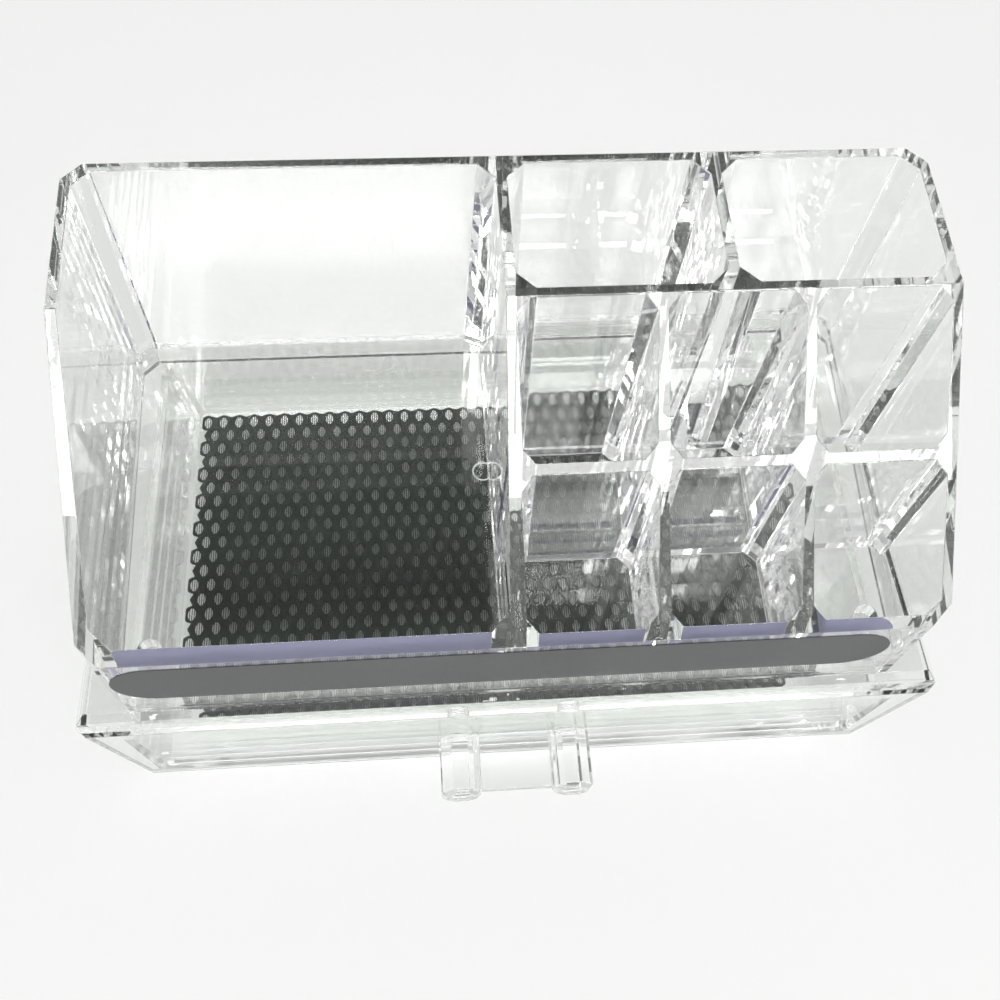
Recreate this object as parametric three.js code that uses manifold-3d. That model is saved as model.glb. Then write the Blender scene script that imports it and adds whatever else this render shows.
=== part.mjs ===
import * as THREE from 'three';
import { mergeVertices } from 'three/addons/utils/BufferGeometryUtils.js';
import Module from 'manifold-3d';

// A clear moulded makeup organizer: an open tray of chamfered compartments whose top slopes down to
// a low front lip, standing on a flared base with one wide drawer. The drawer has a pull made of two
// eight-sided posts and a thin web, and a knitted net lies on its floor.
// Millimetres, +X to the right, +Y to the rear, +Z up. The origin is under the middle of the object.

// Clearances
const seatGap = 0.3; // between pieces that rest on, or are glued to, each other
const overrun = 1; // how far a cutter runs past the face that it opens
const rootDepth = 0.5; // how far a rib or boss is rooted in the wall that carries it

// Base
const baseTopWidth = 240; // at the front, like the width of the foot
const baseBottomWidth = 220;
const baseRearTaper = 6.5; // how much nearer to the middle each side stands at the rear
const baseEdgeHeight = 42.7; // to the outer edge of the top
const shoulderHeight = 3; // bevel from that edge up to the flat that carries the tray
const shoulderWidth = 2.2;
const baseWall = 2.8;
const baseFloor = 2.6;
const baseTopPlate = 2.6;
const baseRearChamfer = 4.6;
const rearReveal = 10; // how far the base stands out behind the tray
const frontReveal = 5.4; // how far the drawer front stands out ahead of the tray

// Tray
const trayWidth = 220;
const trayDepth = 113.5;
const trayHeight = 87;
const lipHeight = 35.5;
const levelDepth = 43.6; // from the rear of the rim to the bend where its slope starts
const trayWall = 2.7;
const trayFrontWall = 2.5;
const trayCorner = 5;
const trayFloorHeight = 11.6; // top of the floor above the foot of the skirt
const trayFloorThickness = 2.4;
const draftAngle = THREE.MathUtils.degToRad(1.3);
const dividerThickness = 2.9;
const dividerCentre = -1.2; // middle of the wall between the large compartment and the others
const crossWallRear = 41.4; // from the rear of the tray to the wall in front of the rear compartments
const crossWallThickness = 2.9;
const cellWall = 2.9;
const cellRowWall = 2.4;
const largeCorner = 4.6;
const cellCorner = 3.1;
const bossDiameter = 6.5;
const bossSideInset = 11.4;
const bossFrontInset = 13.3;

// Label
const labelEndInset = 8.5; // from the ends of the tray, before the label is moved off centre
const labelHeight = 22;
const labelThickness = 0.5;
const labelCentre = -3.6;
const labelFoot = 10.6; // above the foot of the tray

// Drawer
const frontThickness = 2.8;
const frontLift = 0.4; // the drawer front hangs this far above the foot of the base
const frontTopBevel = 1;
const frontEndBevel = 2.6;
const drawerWall = 2.6;
const drawerFloor = 2.6;
const drawerHeight = 33; // from the underside of the drawer to the top of its walls
const drawerLift = 0.5; // running clearance under the drawer
const drawerRearClearance = 1.1;
const drawerRearSidePlay = 1.1; // between the drawer's rear corners and the sides of the base
const drawerFrontSidePlay = 2.9; // the same at the open end
const drawerCorner = 3;
const drawerDraftAngle = THREE.MathUtils.degToRad(1.8);
const drawerFlareAngle = THREE.MathUtils.degToRad(6); // the sides lean out, as those of the base do

// Pull
const pullReach = 18; // from the drawer front to the tips of the posts
const postWidth = 11.5; // across the flats
const postSpacing = 32;
const postHeight = 20.5; // axis of the posts above the foot of the base
const postTipChamfer = 1.3;
const tipLength = 0.8;
const tipWidth = 4.4;
const tipHeight = 2;
const spigotDiameter = 6;
const spigotLength = 1.4;
const socketDiameter = 6.6;
const webThickness = 3;
const webDrop = 1.5; // from the tops of the posts to the top of the web
const webSetback = 1.8; // from the tips of the posts to the edge of the web

// Net liner
const netThickness = 1.2;
const netSideClearance = 1.8; // from the tops of the drawer's side walls
const netRearClearance = 2.4;
const netFrontClearance = 12.2;
const netBorder = 1.5;
const holesPerRow = 20;
const holeRows = 12;
const holeWidthShare = 0.6; // of the spacing along a row
const holeLengthShare = 1.3; // of the spacing between rows
const holeShoulderShare = 0.45; // half length of a hole's straight sides, of its half length

// Places that follow from the sizes above
const overallDepth = rearReveal + trayDepth + frontReveal + pullReach;
const baseRearY = overallDepth / 2;
const trayRearY = baseRearY - rearReveal;
const trayFrontY = trayRearY - trayDepth;
const frontFaceY = trayFrontY - frontReveal;
const frontBackY = frontFaceY + frontThickness;
const baseFrontY = frontBackY + seatGap;
const baseTopZ = baseEdgeHeight + shoulderHeight;
const trayFootZ = baseTopZ + seatGap;
const trayFloorZ = trayFootZ + trayFloorHeight;
const floorUndersideZ = trayFloorZ - trayFloorThickness;
const trayTopZ = trayFootZ + trayHeight;
const bendY = trayRearY - levelDepth;
const drawerFootZ = baseFloor + drawerLift;
const drawerFloorZ = drawerFootZ + drawerFloor;
const drawerTopZ = drawerFootZ + drawerHeight;
const drawerRearY = baseRearY - baseWall - drawerRearClearance;
const labelWidth = trayWidth - 2 * labelEndInset;
const netFrontY = frontBackY + netFrontClearance;
const netRearY = drawerRearY - drawerWall - netRearClearance;
const netLength = netRearY - netFrontY;

const wasm = await Module();
wasm.setup();

// Solids and meshes

function toSolid(geometry) {
  geometry.deleteAttribute('normal');
  geometry.deleteAttribute('uv');
  const merged = mergeVertices(geometry);
  return new wasm.Manifold(new wasm.Mesh({
    numProp: 3,
    vertProperties: new Float32Array(merged.attributes.position.array),
    triVerts: new Uint32Array(merged.index.array),
  }));
}

function toGeometry(solid) {
  const mesh = solid.getMesh();
  const geometry = new THREE.BufferGeometry();
  geometry.setAttribute('position', new THREE.BufferAttribute(mesh.vertProperties, mesh.numProp));
  geometry.setIndex(new THREE.BufferAttribute(mesh.triVerts, 1));
  geometry.computeVertexNormals();
  return geometry;
}

// Directions for work drawn as an elevation: u to the right, v up, w towards the front
const frontwards = new THREE.Matrix4().makeBasis(
  new THREE.Vector3(1, 0, 0),
  new THREE.Vector3(0, 0, 1),
  new THREE.Vector3(0, -1, 0),
);

// The same for a side profile: u to the rear, v up, w to the right
const sideways = new THREE.Matrix4().makeBasis(
  new THREE.Vector3(0, 1, 0),
  new THREE.Vector3(0, 0, 1),
  new THREE.Vector3(1, 0, 0),
);

// A solid through closed outlines with the same number of points, each at its own height
function loft(levels) {
  const count = levels[0].outline.length;
  const positions = [];
  for (const { outline, height } of levels) {
    for (const point of outline) positions.push(point.x, point.y, height);
  }
  const index = [];
  for (let level = 0; level + 1 < levels.length; level += 1) {
    for (let i = 0; i < count; i += 1) {
      const a = level * count + i;
      const b = level * count + (i + 1) % count;
      index.push(a, b, b + count, a, b + count, a + count);
    }
  }
  const top = (levels.length - 1) * count;
  for (const [a, b, c] of THREE.ShapeUtils.triangulateShape(levels[0].outline, [])) {
    index.push(c, b, a);
    index.push(top + a, top + b, top + c);
  }
  const geometry = new THREE.BufferGeometry();
  geometry.setAttribute('position', new THREE.Float32BufferAttribute(positions, 3));
  geometry.setIndex(index);
  return geometry;
}

function prism(outline, bottom, top) {
  return toSolid(loft([{ outline, height: bottom }, { outline, height: top }]));
}

// A rectangle with cut corners, drawn anticlockwise
function chamferedRectangle(left, right, front, rear, corner) {
  return [
    new THREE.Vector2(left + corner, front),
    new THREE.Vector2(right - corner, front),
    new THREE.Vector2(right, front + corner),
    new THREE.Vector2(right, rear - corner),
    new THREE.Vector2(right - corner, rear),
    new THREE.Vector2(left + corner, rear),
    new THREE.Vector2(left, rear - corner),
    new THREE.Vector2(left, front + corner),
  ];
}

// The cut of a corner's inner face, for a wall that stays as thick round the corner
function innerCorner(corner, wall) {
  return corner - wall * (2 - Math.SQRT2);
}

// Square corners at the front, cut corners at the rear, and sides that follow halfWidthAt
function taperedOutline(halfWidthAt, front, rear, corner) {
  const frontHalf = halfWidthAt(front);
  const cutHalf = halfWidthAt(rear - corner);
  const rearHalf = halfWidthAt(rear) - corner;
  return [
    new THREE.Vector2(-frontHalf, front),
    new THREE.Vector2(frontHalf, front),
    new THREE.Vector2(cutHalf, rear - corner),
    new THREE.Vector2(rearHalf, rear),
    new THREE.Vector2(-rearHalf, rear),
    new THREE.Vector2(-cutHalf, rear - corner),
  ];
}

// A moulded pocket: its mouth has the size given at mouthZ, and its walls close in towards the floor
function pocket({ left, right, front, rear, corner, mouthZ, floorZ, topZ, angle }) {
  const level = (height) => {
    const inset = (mouthZ - height) * Math.tan(angle);
    return {
      outline: chamferedRectangle(left + inset, right - inset, front + inset, rear - inset, corner),
      height,
    };
  };
  return toSolid(loft([level(floorZ), level(topZ)]));
}

function box(left, right, front, rear, bottom, top) {
  const geometry = new THREE.BoxGeometry(right - left, rear - front, top - bottom);
  geometry.translate((left + right) / 2, (front + rear) / 2, (bottom + top) / 2);
  return toSolid(geometry);
}

// A round bar that stands upright between two heights
function upright(diameter, x, y, bottom, top) {
  const geometry = new THREE.CylinderGeometry(diameter / 2, diameter / 2, top - bottom, 20);
  geometry.rotateX(Math.PI / 2);
  geometry.translate(x, y, (bottom + top) / 2);
  return toSolid(geometry);
}

// A round bar along Y
function lengthwise(diameter, x, z, front, rear) {
  const geometry = new THREE.CylinderGeometry(diameter / 2, diameter / 2, rear - front, 20);
  geometry.translate(x, (front + rear) / 2, z);
  return toSolid(geometry);
}

// Tray

function slopeHeightAt(y) {
  const rise = (trayHeight - lipHeight) / (trayDepth - levelDepth);
  return y > bendY ? trayTopZ : trayTopZ - (bendY - y) * rise;
}

// Everything above the rim: level at the rear, then one straight slope down to the lip
function aboveTheRim() {
  const beyondFrontY = trayFrontY - overrun;
  const profile = [
    new THREE.Vector2(beyondFrontY, slopeHeightAt(beyondFrontY)),
    new THREE.Vector2(bendY, trayTopZ),
    new THREE.Vector2(bendY, trayTopZ + overrun),
    new THREE.Vector2(beyondFrontY, trayTopZ + overrun),
  ];
  const reach = trayWidth / 2 + overrun;
  const geometry = loft([
    { outline: profile, height: -reach },
    { outline: profile, height: reach },
  ]);
  geometry.applyMatrix4(sideways);
  return toSolid(geometry);
}

function trayPockets() {
  const innerLeft = -trayWidth / 2 + trayWall;
  const innerRight = trayWidth / 2 - trayWall;
  const innerRear = trayRearY - trayWall;
  const innerFront = trayFrontY + trayFrontWall;
  const dividerLeft = dividerCentre - dividerThickness / 2;
  const dividerRight = dividerCentre + dividerThickness / 2;
  const crossRear = trayRearY - crossWallRear;
  const crossFront = crossRear - crossWallThickness;
  const common = { floorZ: trayFloorZ, topZ: trayTopZ + overrun, angle: draftAngle };
  const pockets = [];

  // One large compartment over the whole depth
  pockets.push(pocket({
    ...common,
    left: innerLeft,
    right: dividerLeft,
    front: innerFront,
    rear: innerRear,
    corner: largeCorner,
    mouthZ: trayTopZ,
  }));

  // Two tall compartments behind the cross wall
  const rearWidth = (innerRight - dividerRight - dividerThickness) / 2;
  for (let column = 0; column < 2; column += 1) {
    const left = dividerRight + column * (rearWidth + dividerThickness);
    pockets.push(pocket({
      ...common,
      left,
      right: left + rearWidth,
      front: crossRear,
      rear: innerRear,
      corner: largeCorner,
      mouthZ: trayTopZ,
    }));
  }

  // Two rows of three small cells, stepping down the slope
  const cellWidth = (innerRight - dividerRight - 2 * cellWall) / 3;
  const cellDepth = (crossFront - innerFront - cellRowWall) / 2;
  for (let row = 0; row < 2; row += 1) {
    const front = innerFront + row * (cellDepth + cellRowWall);
    for (let column = 0; column < 3; column += 1) {
      const left = dividerRight + column * (cellWidth + cellWall);
      pockets.push(pocket({
        ...common,
        left,
        right: left + cellWidth,
        front,
        rear: front + cellDepth,
        corner: cellCorner,
        mouthZ: slopeHeightAt(front + cellDepth / 2),
      }));
    }
  }
  return pockets;
}

function upperTray() {
  const outline = chamferedRectangle(
    -trayWidth / 2, trayWidth / 2, trayFrontY, trayRearY, trayCorner);
  let solid = prism(outline, trayFootZ, trayTopZ).subtract(aboveTheRim());
  for (const cutter of trayPockets()) solid = solid.subtract(cutter);

  // Below the floor the walls run on as a skirt
  const skirt = chamferedRectangle(
    -trayWidth / 2 + trayWall,
    trayWidth / 2 - trayWall,
    trayFrontY + trayFrontWall,
    trayRearY - trayWall,
    largeCorner,
  );
  solid = solid.subtract(prism(skirt, trayFootZ - overrun, floorUndersideZ));

  // Two bosses hold the front of the floor up off the base
  for (const side of [-1, 1]) {
    const x = side * (trayWidth / 2 - bossSideInset);
    const y = trayFrontY + bossFrontInset;
    solid = solid.add(upright(bossDiameter, x, y, trayFootZ, floorUndersideZ + rootDepth));
  }
  return solid;
}

// Label on the face of the lip

function frontLabel() {
  const radius = labelHeight / 2;
  const reach = labelWidth / 2 - radius;
  const shape = new THREE.Shape();
  shape.moveTo(-reach, -radius);
  shape.lineTo(reach, -radius);
  shape.absarc(reach, 0, radius, -Math.PI / 2, Math.PI / 2, false);
  shape.lineTo(-reach, radius);
  shape.absarc(-reach, 0, radius, Math.PI / 2, 3 * Math.PI / 2, false);
  const geometry = new THREE.ExtrudeGeometry(shape, {
    depth: labelThickness,
    bevelEnabled: false,
    curveSegments: 12,
  });
  geometry.applyMatrix4(frontwards);
  geometry.translate(labelCentre, trayFrontY - seatGap, trayFootZ + labelFoot + radius);
  return toSolid(geometry);
}

// Base: a sleeve open to the front, wider at its top than at its foot and narrower at its rear

function baseHalfWidthAt(height, y) {
  const flare = (baseTopWidth - baseBottomWidth) / 2 / baseEdgeHeight;
  const taper = baseRearTaper / (baseRearY - baseFrontY);
  return baseBottomWidth / 2 + flare * Math.min(height, baseEdgeHeight) - taper * (y - baseFrontY);
}

function drawerHousing() {
  const level = (height, inset, front, rear, corner) => ({
    outline: taperedOutline((y) => baseHalfWidthAt(height, y) - inset, front, rear, corner),
    height,
  });
  const topFront = baseFrontY + shoulderWidth;
  const topRear = baseRearY - shoulderWidth;
  const outer = loft([
    level(0, 0, baseFrontY, baseRearY, baseRearChamfer),
    level(baseEdgeHeight, 0, baseFrontY, baseRearY, baseRearChamfer),
    level(baseTopZ, shoulderWidth, topFront, topRear, baseRearChamfer),
  ]);
  const cavityFront = baseFrontY - overrun;
  const cavityRear = baseRearY - baseWall;
  const cavityCorner = innerCorner(baseRearChamfer, baseWall);
  const cavity = loft([
    level(baseFloor, baseWall, cavityFront, cavityRear, cavityCorner),
    level(baseTopZ - baseTopPlate, baseWall, cavityFront, cavityRear, cavityCorner),
  ]);
  return toSolid(outer).subtract(toSolid(cavity));
}

// Drawer: a chamfered bin moulded in one with a front that covers the whole end of the base

// The bin follows the sides of the base: drawerHalfWidthAt gives the outside of its foot
function drawerHalfWidthAt(y) {
  const lean = drawerHeight * Math.tan(drawerFlareAngle);
  const roomAt = (place) => {
    const foot = baseHalfWidthAt(drawerFootZ, place);
    const top = baseHalfWidthAt(drawerTopZ, place) - lean;
    return Math.min(foot, top) - baseWall;
  };
  const frontHalf = roomAt(baseFrontY) - drawerFrontSidePlay;
  const rearHalf = roomAt(drawerRearY) - drawerRearSidePlay;
  return THREE.MathUtils.mapLinear(y, baseFrontY, drawerRearY, frontHalf, rearHalf);
}

function drawerFront() {
  const bottomHalf = baseHalfWidthAt(frontLift, baseFrontY);
  const topHalf = baseHalfWidthAt(baseEdgeHeight, baseFrontY);
  const trapezoid = (endInset, edgeInset) => [
    new THREE.Vector2(-bottomHalf + endInset, frontLift + edgeInset),
    new THREE.Vector2(bottomHalf - endInset, frontLift + edgeInset),
    new THREE.Vector2(topHalf - endInset, baseEdgeHeight - edgeInset),
    new THREE.Vector2(-topHalf + endInset, baseEdgeHeight - edgeInset),
  ];
  const geometry = loft([
    { outline: trapezoid(0, 0), height: 0 },
    { outline: trapezoid(0, 0), height: frontThickness - frontEndBevel },
    {
      outline: trapezoid(frontEndBevel - frontTopBevel, 0),
      height: frontThickness - frontTopBevel,
    },
    { outline: trapezoid(frontEndBevel, frontTopBevel), height: frontThickness },
  ]);
  geometry.applyMatrix4(frontwards);
  geometry.translate(0, frontBackY, 0);
  return toSolid(geometry);
}

function drawer() {
  const level = (height, inset, front, corner) => {
    const lean = (height - drawerFootZ) * Math.tan(drawerFlareAngle);
    return {
      outline: taperedOutline(
        (y) => drawerHalfWidthAt(y) + lean - inset, front, drawerRearY - inset, corner),
      height,
    };
  };
  const bin = loft([
    level(drawerFootZ, 0, frontBackY - rootDepth, drawerCorner),
    level(drawerTopZ, 0, frontBackY - rootDepth, drawerCorner),
  ]);
  const draft = (drawerTopZ - drawerFloorZ) * Math.tan(drawerDraftAngle);
  const corner = innerCorner(drawerCorner, drawerWall);
  const cavity = loft([
    level(drawerFloorZ, drawerWall + draft, frontBackY + draft, corner),
    level(drawerTopZ, drawerWall, frontBackY, corner),
  ]);
  let solid = toSolid(bin).add(drawerFront()).subtract(toSolid(cavity));

  // Blind sockets for the spigots of the pull
  for (const side of [-1, 1]) {
    const x = side * postSpacing / 2;
    const socketEndY = frontFaceY + spigotLength + seatGap;
    solid = solid.subtract(
      lengthwise(socketDiameter, x, postHeight, frontFaceY - overrun, socketEndY));
  }
  return solid;
}

// Pull: two eight-sided posts joined by a thin web

function eightSided(width) {
  const half = width / 2;
  return chamferedRectangle(-half, half, -half, half, half * (2 - Math.SQRT2));
}

function drawerPull() {
  const backY = frontFaceY - seatGap;
  const postLength = pullReach - seatGap - tipLength;
  let solid = box(
    -postSpacing / 2,
    postSpacing / 2,
    frontFaceY - pullReach + webSetback,
    backY,
    postHeight + postWidth / 2 - webDrop - webThickness,
    postHeight + postWidth / 2 - webDrop,
  );
  for (const side of [-1, 1]) {
    const x = side * postSpacing / 2;
    const post = loft([
      { outline: eightSided(postWidth), height: 0 },
      { outline: eightSided(postWidth), height: postLength - postTipChamfer },
      { outline: eightSided(postWidth - 2 * postTipChamfer), height: postLength },
    ]);
    post.applyMatrix4(frontwards);
    post.translate(x, backY, postHeight);
    solid = solid.add(toSolid(post));
    solid = solid.add(lengthwise(
      spigotDiameter, x, postHeight, backY - rootDepth, frontFaceY + spigotLength));
    solid = solid.add(box(
      x - tipWidth / 2,
      x + tipWidth / 2,
      frontFaceY - pullReach,
      backY - postLength + rootDepth,
      postHeight - tipHeight / 2,
      postHeight + tipHeight / 2,
    ));
  }
  return solid;
}

// Net liner: a flat knitted net with rows of long holes, each row shifted by half a hole

function netHalfWidthAt(y) {
  return drawerHalfWidthAt(y) - drawerWall - netSideClearance;
}

function meshLiner() {
  const corner = innerCorner(drawerCorner, drawerWall);
  const shape = new THREE.Shape(taperedOutline(netHalfWidthAt, netFrontY, netRearY, corner));

  const rowSpacing = (netLength - 2 * netBorder) / (holeRows + holeLengthShare - 1);
  const halfLength = rowSpacing * holeLengthShare / 2;
  const shoulder = halfLength * holeShoulderShare;
  for (let row = 0; row < holeRows; row += 1) {
    const shift = row % 2;
    const y = netFrontY + netBorder + halfLength + row * rowSpacing;
    const columnSpacing = 2 * (netHalfWidthAt(y) - netBorder) / holesPerRow;
    const halfWidth = columnSpacing * holeWidthShare / 2;
    for (let column = 0; column < holesPerRow - shift; column += 1) {
      const x = (column - (holesPerRow - 1 - shift) / 2) * columnSpacing;
      const hole = new THREE.Path();
      hole.moveTo(x, y - halfLength);
      hole.lineTo(x - halfWidth, y - shoulder);
      hole.lineTo(x - halfWidth, y + shoulder);
      hole.lineTo(x, y + halfLength);
      hole.lineTo(x + halfWidth, y + shoulder);
      hole.lineTo(x + halfWidth, y - shoulder);
      hole.closePath();
      shape.holes.push(hole);
    }
  }
  const geometry = new THREE.ExtrudeGeometry(shape, { depth: netThickness, bevelEnabled: false });
  geometry.translate(0, 0, drawerFloorZ + seatGap);
  return toSolid(geometry);
}

// Materials

const clearPlastic = new THREE.MeshStandardMaterial({
  color: 0xe6edea,
  roughness: 0.04,
  metalness: 0,
  transparent: true,
  opacity: 0.35,
});

const printedFilm = new THREE.MeshStandardMaterial({
  color: 0x6a6e6c,
  roughness: 0.35,
  metalness: 0,
});

const blackNet = new THREE.MeshStandardMaterial({
  color: 0x262b27,
  roughness: 0.85,
  metalness: 0,
});

// Assembly

const group = new THREE.Group();

function addPiece(name, solid, material) {
  const mesh = new THREE.Mesh(toGeometry(solid), material);
  mesh.name = name;
  group.add(mesh);
}

addPiece('upper_tray', upperTray(), clearPlastic);
addPiece('front_label', frontLabel(), printedFilm);
addPiece('drawer_housing', drawerHousing(), clearPlastic);
addPiece('drawer', drawer(), clearPlastic);
addPiece('drawer_pull', drawerPull(), clearPlastic);
addPiece('mesh_liner', meshLiner(), blackNet);

export default group;
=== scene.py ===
import math

import bpy
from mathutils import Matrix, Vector


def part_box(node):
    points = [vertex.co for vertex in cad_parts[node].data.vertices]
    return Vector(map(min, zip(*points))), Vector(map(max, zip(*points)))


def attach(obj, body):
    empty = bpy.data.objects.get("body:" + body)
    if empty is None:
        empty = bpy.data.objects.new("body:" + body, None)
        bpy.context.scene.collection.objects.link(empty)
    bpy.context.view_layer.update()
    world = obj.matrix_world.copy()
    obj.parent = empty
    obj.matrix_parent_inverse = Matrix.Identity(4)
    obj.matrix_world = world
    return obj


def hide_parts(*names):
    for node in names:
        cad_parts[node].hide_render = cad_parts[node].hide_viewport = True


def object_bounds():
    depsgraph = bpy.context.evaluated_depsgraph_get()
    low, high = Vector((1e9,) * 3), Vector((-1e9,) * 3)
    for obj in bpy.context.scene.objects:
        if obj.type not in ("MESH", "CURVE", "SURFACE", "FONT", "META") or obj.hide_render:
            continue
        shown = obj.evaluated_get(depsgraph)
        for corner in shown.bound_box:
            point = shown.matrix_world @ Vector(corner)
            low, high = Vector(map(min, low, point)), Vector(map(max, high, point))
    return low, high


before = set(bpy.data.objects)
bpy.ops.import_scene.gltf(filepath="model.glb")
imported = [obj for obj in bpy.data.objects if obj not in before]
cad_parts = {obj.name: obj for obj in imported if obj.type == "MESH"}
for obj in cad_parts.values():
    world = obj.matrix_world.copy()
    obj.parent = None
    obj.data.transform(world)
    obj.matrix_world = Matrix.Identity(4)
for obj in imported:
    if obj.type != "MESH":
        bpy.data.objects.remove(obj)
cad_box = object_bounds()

MM = 0.001
MERGE_DISTANCE = 0.002 * MM
FLAT_ANGLE = math.radians(0.4)  # faces that meet at less than this are one face
EDGE_ANGLE = math.radians(24)  # faces that meet at more than this have an edge between them
POLYSTYRENE_IOR = 1.57


class Wire:
    """The output of a shader node. Arithmetic adds Math nodes, and node() adds any other."""

    def __init__(self, tree, output=None):
        self.tree = tree
        self.output = output

    def node(self, kind, inputs=(), output=0, stops=(), **settings):
        made = self.tree.nodes.new("ShaderNode" + kind)
        for name, value in settings.items():
            setattr(made, name, value)
        for place, (position, colour) in enumerate(stops):
            ramp = made.color_ramp.elements
            stop = ramp[place] if place < 2 else ramp.new(position)
            stop.position = position
            stop.color = (*colour, 1)
        for socket, value in dict(inputs).items():
            if isinstance(value, Wire):
                self.tree.links.new(value.output, made.inputs[socket])
            else:
                made.inputs[socket].default_value = value
        return Wire(self.tree, made.outputs[output])

    def math(self, operation, first, second=0.0):
        return self.node("Math", {0: first, 1: second}, operation=operation)

    def __add__(self, other):
        return self.math("ADD", self, other)

    __radd__ = __add__

    def __sub__(self, other):
        return self.math("SUBTRACT", self, other)

    def __rsub__(self, other):
        return self.math("SUBTRACT", other, self)

    def __mul__(self, other):
        return self.math("MULTIPLY", self, other)

    __rmul__ = __mul__

    def between(self, low, high):
        """0 at low and below, 1 at high and above, with a smooth rise."""
        return self.node(
            "MapRange",
            {"Value": self, "From Min": low, "From Max": high},
            interpolation_type="SMOOTHSTEP",
        )


def new_material(name):
    material = bpy.data.materials.new(name)
    material.use_nodes = True
    material.node_tree.nodes.clear()
    return material, Wire(material.node_tree)


def finish_material(shader):
    end = shader.tree.nodes.new("ShaderNodeOutputMaterial")
    shader.tree.links.new(shader.output, end.inputs["Surface"])


def clear_plastic(name, colour, shade, flow_scale, haze):
    """Clear polystyrene, polished in the mould. Its face ripples a little where the melt flowed."""
    material, maker = new_material(name)
    place = maker.node("TexCoord", output="Object")
    flow = maker.node("TexNoise", {"Vector": place, "Scale": flow_scale, "Detail": 1.5})
    scuffs = maker.node("TexNoise", {"Vector": place, "Scale": 900.0, "Detail": 2.0})
    ripple = maker.node("Bump", {"Height": flow, "Strength": 0.1, "Distance": 0.05 * MM})
    glass = maker.node("BsdfPrincipled", {
        "Base Color": (*colour, 1),
        "Roughness": haze + scuffs.between(0.55, 0.8) * 0.05,
        "IOR": POLYSTYRENE_IOR,
        "Transmission Weight": 1.0,
        "Normal": ripple,
    })
    lamp_light = maker.node("BsdfTransparent", {"Color": (*shade, 1)})
    is_shadow = maker.node("LightPath", output="Is Shadow Ray")
    finish_material(maker.node("MixShader", {0: is_shadow, 1: glass, 2: lamp_light}))
    return material


def work_on(piece):
    bpy.ops.object.select_all(action="DESELECT")
    bpy.context.view_layer.objects.active = piece
    piece.select_set(True)


def edit_all():
    """Puts the active piece in edit mode with all of it selected."""
    bpy.ops.object.mode_set(mode="EDIT")
    bpy.ops.mesh.select_all(action="SELECT")


def moulded_copy(name, node, edge_radius, body, material):
    """A CAD node's solid as its own piece, with the small edge radius that a mould leaves."""
    piece = bpy.data.objects.new(name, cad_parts[node].data.copy())
    bpy.context.scene.collection.objects.link(piece)
    work_on(piece)
    edit_all()
    bpy.ops.mesh.remove_doubles(threshold=MERGE_DISTANCE)
    bpy.ops.mesh.dissolve_limited(angle_limit=FLAT_ANGLE)
    bpy.ops.object.mode_set(mode="OBJECT")
    bpy.ops.mesh.customdata_custom_splitnormals_clear()
    bpy.ops.object.shade_smooth_by_angle(angle=EDGE_ANGLE)
    bevel = piece.modifiers.new("Edge radius", "BEVEL")
    bevel.width = edge_radius
    bevel.segments = 2
    bevel.limit_method = "ANGLE"
    bevel.angle_limit = EDGE_ANGLE
    bevel.harden_normals = True
    bpy.ops.object.modifier_apply(modifier=bevel.name)
    piece.data.materials.clear()
    piece.data.materials.append(material)
    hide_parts(node)
    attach(piece, body)


base_edge_radius = 0.35 * MM
base_plastic = clear_plastic(
    "Clear base plastic",
    colour=(0.982, 0.99, 0.98),
    shade=(0.93, 0.94, 0.93),
    flow_scale=38.0,
    haze=0.015,
)
moulded_copy("base_sleeve", "drawer_housing", base_edge_radius, "base", base_plastic)

# Drawer: one clear moulding, a bin with cut rear corners and a front that covers the whole end of
# the base. It slides on the floor of the base.
drawer_edge_radius = 0.35 * MM
drawer_plastic = clear_plastic(
    "Clear drawer plastic",
    colour=(0.982, 0.99, 0.98),
    shade=(0.93, 0.94, 0.93),
    flow_scale=44.0,
    haze=0.015,
)
moulded_copy("drawer_bin", "drawer", drawer_edge_radius, "drawer_unit", drawer_plastic)

# Pull: a clear moulding of two eight-sided posts joined by a thin web. Each post has a short
# spigot, which is cemented into a socket in the drawer front.
pull_edge_radius = 0.3 * MM
pull_plastic = clear_plastic(
    "Clear pull plastic",
    colour=(0.985, 0.99, 0.985),
    shade=(0.95, 0.955, 0.95),
    flow_scale=60.0,
    haze=0.012,
)
moulded_copy("post_pull", "drawer_pull", pull_edge_radius, "drawer_unit", pull_plastic)

# Net liner: knitted black polyester with rows of oval holes, each row shifted by half a hole. It is
# cut from the roll, so its sides are wavy, and it lies loose on the floor of the drawer.
net_low, net_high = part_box("mesh_liner")
net_middle = (net_low + net_high) / 2
NET_COLUMNS = 38
NET_ROWS = 11  # and as many shifted rows, less one, between them
RING_SIDES = 12  # of the ring of yarn round one hole
SIDE_CUT_SHARE = 0.12  # of the pitch, cut off the yarn outside the last holes
SCALLOP_SHARE = 0.21  # of the pitch, by which a shifted row stands out at the side
NEAR_SHARE = 0.1  # of the pitch, within which a vertex counts as being at a place
NEAR_ROW_SHARE = 0.15  # of the row pitch, likewise
HOLE_WIDTH_SHARE = 0.48  # of the pitch
hole_pitch = (net_high.x - net_low.x) / (NET_COLUMNS - 2 * SIDE_CUT_SHARE)
half_net = NET_COLUMNS / 2 * hole_pitch
hole_width = HOLE_WIDTH_SHARE * hole_pitch
hole_length = 4.4 * MM
hole_end = 0.3 * hole_length  # from the middle of a hole to where it draws in
HOLE_END_SHARE = 0.72  # of the hole's width, left at its ends
knot_length = 1.5 * MM  # along the net, from the end of one hole to the next in its column
row_pitch = (net_high.y - net_low.y - hole_length - knot_length) / (2 * NET_ROWS - 2)
yarn_thickness = 0.85 * MM
yarn_rounding = 0.25 * MM
YARN_EDGE_ANGLE = math.radians(50)
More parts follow.
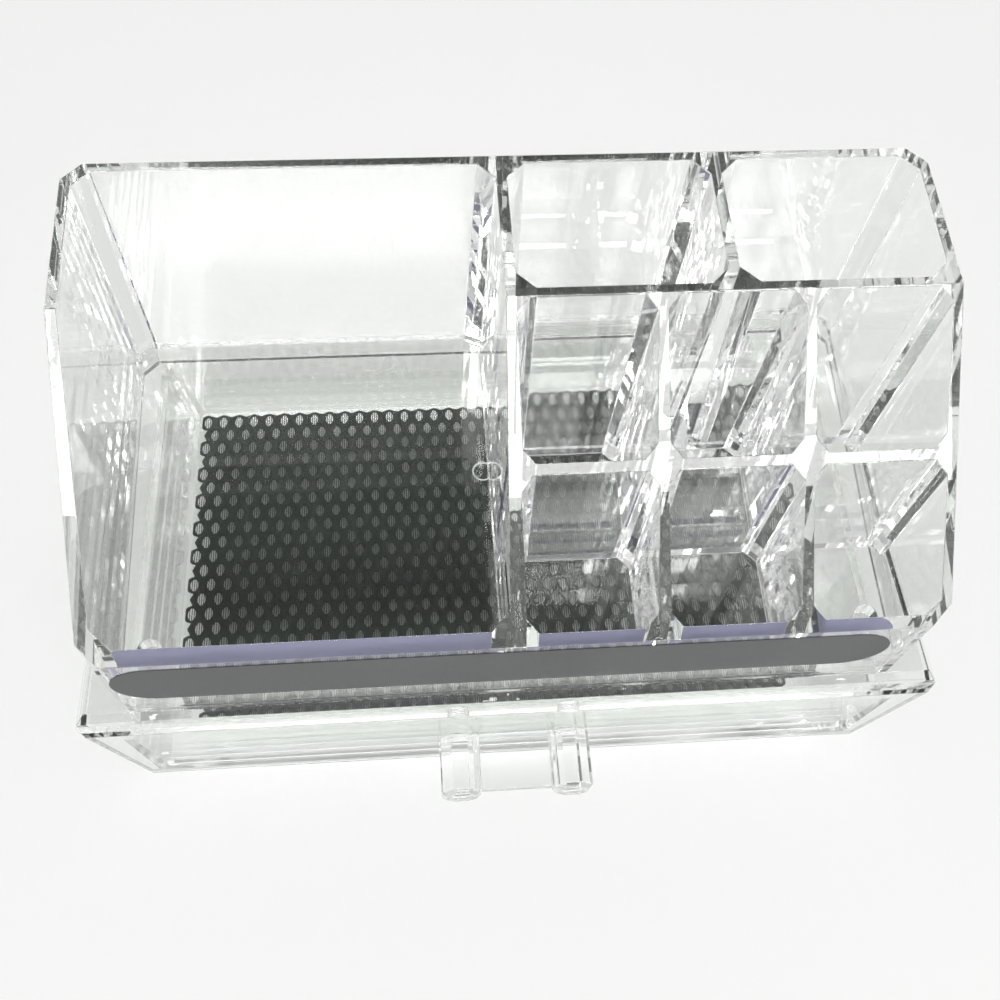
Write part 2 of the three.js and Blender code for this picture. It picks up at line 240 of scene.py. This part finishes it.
loose_yarn_thickness = 0.22 * MM
LOOSE_YARN_SHARES = ((-0.27, 0.8), (0.02, 1.1), (0.3, 0.76))  # of hole width and hole length
net_foot = net_low.z + 0.05 * MM
net_merge_distance = 0.02 * MM
same_place = 0.01 * MM


def select_where(piece, wanted):
    """Leaves the piece in edit mode with only the vertices selected whose place is wanted."""
    bpy.ops.object.mode_set(mode="EDIT")
    bpy.ops.mesh.select_mode(type="VERT")
    bpy.ops.mesh.select_all(action="DESELECT")
    bpy.ops.object.mode_set(mode="OBJECT")
    for vertex in piece.data.vertices:
        vertex.select = wanted(vertex.co)
    bpy.ops.object.mode_set(mode="EDIT")


def settle(name):
    """Names the primitive just added, and puts its place, turn and scale into its mesh."""
    piece = bpy.context.object
    piece.name = name
    bpy.ops.object.transform_apply(location=True, rotation=True, scale=True)
    return piece


def repeat(part, columns, rows):
    """Copies the first hole of a set along its row, and the row along the net."""
    for axis, (count, pitch) in enumerate(((columns, hole_pitch), (rows, 2 * row_pitch))):
        array = part.modifiers.new("Repeat", "ARRAY")
        array.use_relative_offset = False
        array.use_constant_offset = True
        array.constant_offset_displace = [0, 0, 0]
        array.constant_offset_displace[axis] = pitch
        array.count = count
        bpy.ops.object.modifier_apply(modifier=array.name)


def first_hole(columns, rows):
    """The middle of the hole at the left of the front row, in a set centred on the net."""
    return (
        net_middle.x - (columns - 1) / 2 * hole_pitch,
        net_middle.y - (rows - 1) * row_pitch,
        net_foot,
    )


def net_part(name, columns, rows):
    """Rows of loops, each a ring of yarn round one hole. Six-sided rings meet with no gaps."""
    middle = first_hole(columns, rows)
    bpy.ops.object.select_all(action="DESELECT")
    bpy.ops.mesh.primitive_circle_add(
        vertices=RING_SIDES, radius=hole_length / 2, fill_type="NOTHING", location=middle)
    part = settle(name)
    select_where(part, lambda place: abs(place.y - middle[1]) > hole_end)
    bpy.ops.transform.resize(value=(HOLE_END_SHARE, 1, 1), center_override=middle)
    bpy.ops.mesh.select_all(action="SELECT")
    bpy.ops.transform.resize(value=(hole_width / hole_length, 1, 1), center_override=middle)
    bpy.ops.mesh.extrude_edges_move(TRANSFORM_OT_translate={"value": (0, 0, 0)})
    bpy.ops.object.mode_set(mode="OBJECT")
    far = (hole_length + knot_length) / 2
    near = row_pitch - far
    corners = ((0.5 * hole_pitch, 0), (0.5 * hole_pitch, near),
               (0.25 * hole_pitch, (near + far) / 2), (0, far))
    for vertex in [v for v in part.data.vertices if v.select]:
        across = vertex.co.x - middle[0]
        along = vertex.co.y - middle[1]
        turn = math.atan2(abs(along) / hole_length, abs(across) / hole_width)
        nearest = round(turn / math.radians(360 / RING_SIDES))
        x, y = corners[min(nearest, len(corners) - 1)]
        vertex.co.x = middle[0] + math.copysign(x, across)
        vertex.co.y = middle[1] + math.copysign(y, along)
    repeat(part, columns, rows)
    return part


def loose_yarns(columns, rows):
    """Three thin yarns that cross each hole lengthwise and dim what is seen through it."""
    x, y, z = first_hole(columns, rows)
    yarns = []
    for across_share, length_share in LOOSE_YARN_SHARES:
        bpy.ops.object.select_all(action="DESELECT")
        bpy.ops.mesh.primitive_plane_add(size=1, location=(
            x + across_share * hole_width,
            y,
            z + (yarn_thickness + loose_yarn_thickness) / 2,
        ))
        bpy.context.object.scale = (loose_yarn_thickness, length_share * hole_length, 1)
        loose_yarn = settle("loose_yarn")
        repeat(loose_yarn, columns, rows)
        yarns.append(loose_yarn)
    return yarns


def join_to(piece, others):
    work_on(piece)
    for other in others:
        other.select_set(True)
    bpy.ops.object.join()


def thicken(piece, thickness):
    """Gives a flat piece its thickness."""
    modifier = piece.modifiers.new("Yarn", "SOLIDIFY")
    modifier.thickness = thickness
    modifier.offset = -1
    work_on(piece)
    bpy.ops.object.modifier_apply(modifier=modifier.name)


def on_edge(place, side):
    return (place.x - net_middle.x) * side > half_net - NEAR_SHARE * hole_pitch


def beside_shifted_hole(place, side):
    from_edge = half_net - (place.x - net_middle.x) * side
    row = abs(place.y - net_middle.y) / row_pitch
    half_way = abs(from_edge / hole_pitch - 0.5) < NEAR_SHARE
    return half_way and abs(row % 2 - 1) < NEAR_ROW_SHARE


net = net_part("net_liner", NET_COLUMNS, NET_ROWS)
join_to(net, [net_part("shifted_rows", NET_COLUMNS - 1, NET_ROWS - 1)])
edit_all()
bpy.ops.mesh.remove_doubles(threshold=net_merge_distance)
bpy.ops.object.mode_set(mode="OBJECT")
for side in (-1, 1):
    for wanted, shift in ((on_edge, -SIDE_CUT_SHARE), (beside_shifted_hole, SCALLOP_SHARE)):
        select_where(net, lambda place: wanted(place, side))
        bpy.ops.transform.translate(value=(side * shift * hole_pitch, 0, 0))
        bpy.ops.object.mode_set(mode="OBJECT")
thicken(net, yarn_thickness)
rounding = net.modifiers.new("Round", "BEVEL")
rounding.width = yarn_rounding
rounding.segments = 1
rounding.angle_limit = YARN_EDGE_ANGLE
bpy.ops.object.modifier_apply(modifier=rounding.name)
yarns = loose_yarns(NET_COLUMNS, NET_ROWS) + loose_yarns(NET_COLUMNS - 1, NET_ROWS - 1)
for loose_yarn in yarns:
    thicken(loose_yarn, loose_yarn_thickness)
join_to(net, yarns)
bpy.ops.object.shade_smooth()

# The net follows the sides of the drawer, which draw nearer to each other towards the rear.
solid_places = [vertex.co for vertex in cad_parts["mesh_liner"].data.vertices]
rear_half = max(place.x for place in solid_places if place.y > net_middle.y)
rear_y = max(place.y for place in solid_places if place.x > rear_half - same_place)
taper = (net_high.x - rear_half) / (rear_y - net_low.y)
for vertex in net.data.vertices:
    vertex.co.x *= 1 - taper * (vertex.co.y - net_low.y) / net_high.x

net_material, maker = new_material("Knitted net")
place = maker.node("TexCoord", output="Object")
yarn = maker.node("TexNoise", {"Vector": place, "Scale": 2600.0, "Detail": 2.0})
stitch = maker.node("TexWave", {"Vector": place, "Scale": 620.0, "Distortion": 3.0})
fuzz = maker.node("Bump", {"Height": yarn + stitch, "Strength": 0.6, "Distance": 0.15 * MM})
wear = maker.node("ValToRGB", {"Fac": yarn}, stops=(
    (0.3, (0.007, 0.010, 0.007)),
    (0.7, (0.024, 0.034, 0.024)),
))
finish_material(maker.node("BsdfPrincipled", {
    "Base Color": wear,
    "Roughness": 0.82,
    "Sheen Weight": 0.05,
    "Normal": fuzz,
}))
net.data.materials.append(net_material)
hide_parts("mesh_liner")
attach(net, "drawer_unit")

# Tray: one clear moulding with nine compartments, which narrow towards the floor so that it leaves
# the mould. Its rim slopes to a low lip. It stands loose on the flat top of the base.
tray_edge_radius = 0.4 * MM
tray_plastic = clear_plastic(
    "Clear tray plastic",
    colour=(0.985, 0.99, 0.983),
    shade=(0.94, 0.945, 0.94),
    flow_scale=26.0,
    haze=0.01,
)
moulded_copy("compartment_tray", "upper_tray", tray_edge_radius, "base", tray_plastic)

# Gate mark: a thin round ridge under the tray's floor, beside the middle wall, where the melt was
# let in. Its pale white colour is a painted highlight that makes the ridge show as a bright ring.
gate_across = -5.8 * MM
gate_back = 13.8 * MM
gate_radius = 3.1 * MM
gate_height = 0.25 * MM
gate_overlap = 0.02 * MM  # by which the ridge reaches into the floor
GATE_BORE_SHARE = 0.87  # of the ridge's radius
GATE_DRAFT_SHARE = 0.97  # of the ridge's size at the floor, left at its lower edge
LEVEL_DOWN = -0.99  # a face whose normal has a lower z than this is level and looks down


def floor_underside(node):
    """The height of the level faces that look down from the middle of a node, off its foot."""
    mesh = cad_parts[node].data
    foot = min(vertex.co.z for vertex in mesh.vertices)
    return max(
        (face.area, face.center.z) for face in mesh.polygons
        if face.normal.z < LEVEL_DOWN and face.center.z > foot + 1 * MM
    )[1]


def close_shell():
    """Turns the faces of the piece in edit mode outwards, and leaves edit mode."""
    bpy.ops.mesh.select_all(action="SELECT")
    bpy.ops.mesh.normals_make_consistent(inside=False)
    bpy.ops.object.mode_set(mode="OBJECT")


gate_place = Vector((gate_across, gate_back, floor_underside("upper_tray") + gate_overlap))
bpy.ops.object.select_all(action="DESELECT")
bpy.ops.mesh.primitive_circle_add(
    vertices=48, radius=gate_radius, fill_type="NOTHING", location=gate_place)
gate_mark = settle("gate_mark")
edit_all()
bpy.ops.mesh.extrude_edges_move(TRANSFORM_OT_translate={"value": (0, 0, 0)})
bpy.ops.transform.resize(
    value=(GATE_BORE_SHARE, GATE_BORE_SHARE, 1), center_override=gate_place)
bpy.ops.mesh.select_all(action="SELECT")
bpy.ops.mesh.extrude_region_move(TRANSFORM_OT_translate={"value": (0, 0, -gate_height)})
bpy.ops.transform.resize(
    value=(GATE_DRAFT_SHARE, GATE_DRAFT_SHARE, 1), center_override=gate_place)
close_shell()
gate_highlight_plastic, maker = new_material("Gate plastic with painted highlight")
place = maker.node("TexCoord", output="Object")
highlight_mottle = maker.node("TexNoise", {"Vector": place, "Scale": 1800.0, "Detail": 2.0})
# Pale, partly clear plastic: the white is a painted highlight on the ridge, mottled by the same
# noise as its roughness.
finish_material(maker.node("BsdfPrincipled", {
    "Base Color": maker.node("ValToRGB", {"Fac": highlight_mottle}, stops=(
        (0.3, (0.74, 0.78, 0.74)),
        (0.7, (0.88, 0.91, 0.88)),
    )),
    "Roughness": 0.35 + highlight_mottle * 0.2,
    "IOR": POLYSTYRENE_IOR,
    "Transmission Weight": 0.25,
}))
gate_mark.data.materials.append(gate_highlight_plastic)
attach(gate_mark, "base")

# Label: a printed self-adhesive film with round ends, dark grey outside and lavender on its glued
# side. It sticks to the face of the lip, so its back shows through the plastic.
label_low, label_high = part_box("front_label")
tray_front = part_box("upper_tray")[0].y
label_radius = (label_high.z - label_low.z) / 2
label_reach = (label_high.x - label_low.x) / 2 - label_radius
label_middle = (label_low + label_high) / 2
film_thickness = 0.25 * MM
glue_depth = 0.03 * MM  # the glue wets the plastic, with no air between
bpy.ops.object.select_all(action="DESELECT")
bpy.ops.mesh.primitive_circle_add(
    vertices=64,
    radius=label_radius,
    fill_type="NGON",
    location=(label_middle.x, tray_front + glue_depth, label_middle.z),
    rotation=(math.pi / 2, 0, 0),
)
label = settle("lip_label")
for side in (-1, 1):
    select_where(label, lambda place: (place.x - label_middle.x) * side > 0)
    bpy.ops.transform.translate(value=(side * label_reach, 0, 0))
    bpy.ops.object.mode_set(mode="OBJECT")
edit_all()
bpy.ops.mesh.extrude_region_move(TRANSFORM_OT_translate={"value": (0, -film_thickness, 0)})
close_shell()

printed_face, maker = new_material("Printed film")
place = maker.node("TexCoord", output="Object")
grain = maker.node("TexNoise", {"Vector": place, "Scale": 1500.0, "Detail": 3.0})
clouds = maker.node("TexNoise", {"Vector": place, "Scale": 22.0, "Detail": 1.0})
print_colour = maker.node("ValToRGB", {"Fac": clouds}, stops=(
    (0.3, (0.030, 0.034, 0.034)),
    (0.7, (0.040, 0.045, 0.044)),
))
finish_material(maker.node("BsdfPrincipled", {
    "Base Color": print_colour,
    "Roughness": 0.28 + grain * 0.12,
    "Normal": maker.node("Bump", {"Height": grain, "Strength": 0.1, "Distance": 0.02 * MM}),
}))
glued_back, maker = new_material("Lavender back of the film")
place = maker.node("TexCoord", output="Object")
clouds = maker.node("TexNoise", {"Vector": place, "Scale": 30.0, "Detail": 1.0})
back_colour = maker.node("ValToRGB", {"Fac": clouds}, stops=(
    (0.3, (0.60, 0.60, 0.84)),
    (0.7, (0.66, 0.66, 0.90)),
))
finish_material(maker.node("BsdfPrincipled", {
    "Base Color": back_colour,
    "Roughness": 0.5 + clouds * 0.1,
}))
label.data.materials.append(printed_face)
label.data.materials.append(glued_back)
for face in label.data.polygons:
    face.material_index = 1 if face.normal.y > 0.5 else 0
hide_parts("front_label")
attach(label, "base")

# Studio: a plain pale floor, a pale room with a greyer ceiling and one dark patch of wall above
# the object's rear, a wide soft lamp in front and a small one above the rear. The camera stands
# where the photograph was taken.
FLOOR_SIZE = 6.0
FLOOR_DROP = 0.02 * MM  # keeps the floor's face apart from the foot of the base
SIDE_BAND = (-0.035, -0.012)  # just inside the object's sides, where the glow fades in as painted light under their edges
END_BAND = (-0.018, -0.004)  # likewise at its front and rear
TABLE_GLOW = 0.86
CAMERA_GLOW = 0.08  # by which the open table is brighter where the camera sees it straight
CAMERA_SHARE = 0.6  # of that glow in what the camera sees straight, the rest being lit paper
CEILING_SHADE = 0.32
FURNITURE_SHADE = 0.28
LIGHT_BOUNCES = 64  # enough to cross all the clear walls that lie one behind another
bpy.ops.object.select_all(action="DESELECT")
bpy.ops.mesh.primitive_plane_add(size=FLOOR_SIZE, location=(0, 0, -FLOOR_DROP))
floor = bpy.context.object
floor.name = "table_top"
floor_material, maker = new_material("Pale table")
place = maker.node("TexCoord", output="Object")
paper = maker.node("TexNoise", {"Vector": place, "Scale": 300.0, "Detail": 2.0})
lit_table = maker.node("BsdfPrincipled", {
    "Base Color": maker.node("ValToRGB", {"Fac": paper}, stops=(
        (0.3, (0.885, 0.885, 0.885)),
        (0.7, (0.895, 0.895, 0.895)),
    )),
    "Roughness": 0.7,
})
by_camera = maker.node("LightPath", output="Is Camera Ray")
by_mirror = maker.node("LightPath", output="Is Glossy Ray")
by_glass = maker.node("LightPath", output="Is Transmission Ray")
across = maker.node("SeparateXYZ", {0: place}, output="X")
along = maker.node("SeparateXYZ", {0: place}, output="Y")
# The table glows past the object's sides and ends. The glow also reaches a little way under them
# before it fades out, as painted light on the table under the object's edges. Further in, the table
# is only lamp-lit.
side_glow = (across.math("ABSOLUTE", across) - cad_box[1][0]).between(*SIDE_BAND)
end_glow = (along.math("ABSOLUTE", along) - cad_box[1][1]).between(*END_BAND)
backdrop_glow_and_painted_edge_light = side_glow.math("MAXIMUM", side_glow, end_glow)
share = by_camera * CAMERA_SHARE + by_mirror.math("MAXIMUM", by_mirror, by_glass)
white_table = maker.node("Emission", {
    "Color": (0.99, 1.0, 0.985, 1),
    "Strength": TABLE_GLOW + CAMERA_GLOW * by_camera,
})
finish_material(maker.node("MixShader", {0: share * backdrop_glow_and_painted_edge_light, 1: lit_table, 2: white_table}))
floor.data.materials.append(floor_material)

world = bpy.data.worlds.new("Pale room")
bpy.context.scene.world = world
world.use_nodes = True
world.node_tree.nodes.clear()
maker = Wire(world.node_tree)
direction = maker.node("TexCoord", output="Generated")
height = maker.node("SeparateXYZ", {0: direction}, output="Z")
furniture = maker.node("TexNoise", {"Vector": direction, "Scale": 3.2, "Detail": 1.0})
dark_wall = Vector((0.1, 0.5, 1.0)).normalized()
towards_wall = maker.node(
    "VectorMath", {0: direction, 1: dark_wall}, output="Value", operation="DOT_PRODUCT")
unevenness = CEILING_SHADE + FURNITURE_SHADE * furniture.between(0.45, 0.6)
ceiling = height.between(0.2, 0.7) * unevenness
shade = ceiling.math("MAXIMUM", ceiling, towards_wall.between(0.92, 0.965))
light = maker.node("ValToRGB", {"Fac": shade}, stops=(
    (0.0, (0.92, 0.92, 0.92)),
    (1.0, (0.08, 0.08, 0.085)),
))
background = maker.node("Background", {"Color": light, "Strength": 1.0})
world_end = world.node_tree.nodes.new("ShaderNodeOutputWorld")
world.node_tree.links.new(background.output, world_end.inputs["Surface"])


def area_lamp(name, place, target, width, depth, watts):
    bpy.ops.object.light_add(type="AREA", location=place)
    lamp = bpy.context.object
    lamp.name = name
    lamp.data.shape = "RECTANGLE"
    lamp.data.size = width
    lamp.data.size_y = depth
    lamp.data.energy = watts
    lamp.rotation_euler = (target - place).to_track_quat("-Z", "Y").to_euler()


# The upper half of the sloped rims mirrors this lamp into the camera, and the lower half doesn't.
soft_place = Vector((0.115, -0.857, 1.098))
over_rim = Vector((soft_place.x, 0, cad_box[1][2]))
area_lamp("Soft lamp", soft_place, target=over_rim, width=1.2, depth=0.27, watts=11.5)

# A small ceiling lamp glares on the floor of one middle cell, as it does in the photograph.
glare_place = Vector((0.352, 0.70, 1.159))
foot_middle = Vector((0, 0, 0))
area_lamp("Ceiling lamp", glare_place, target=foot_middle, width=0.105, depth=0.075, watts=0.2)

camera_data = bpy.data.cameras.new("Camera")
camera = bpy.data.objects.new("Camera", camera_data)
bpy.context.scene.collection.objects.link(camera)
bpy.context.scene.camera = camera
camera_data.sensor_width = 36
camera_data.lens = 43.28
camera_data.clip_start = 0.01
camera.location = (-0.02755, -0.15110, 0.36581)
camera.rotation_euler = [math.radians(turn) for turn in (26.812, -2.808, -4.015)]

scene = bpy.context.scene
scene.view_settings.view_transform = "Standard"
scene.cycles.max_bounces = LIGHT_BOUNCES
scene.cycles.transmission_bounces = LIGHT_BOUNCES
scene.cycles.glossy_bounces = LIGHT_BOUNCES
scene.cycles.transparent_max_bounces = LIGHT_BOUNCES
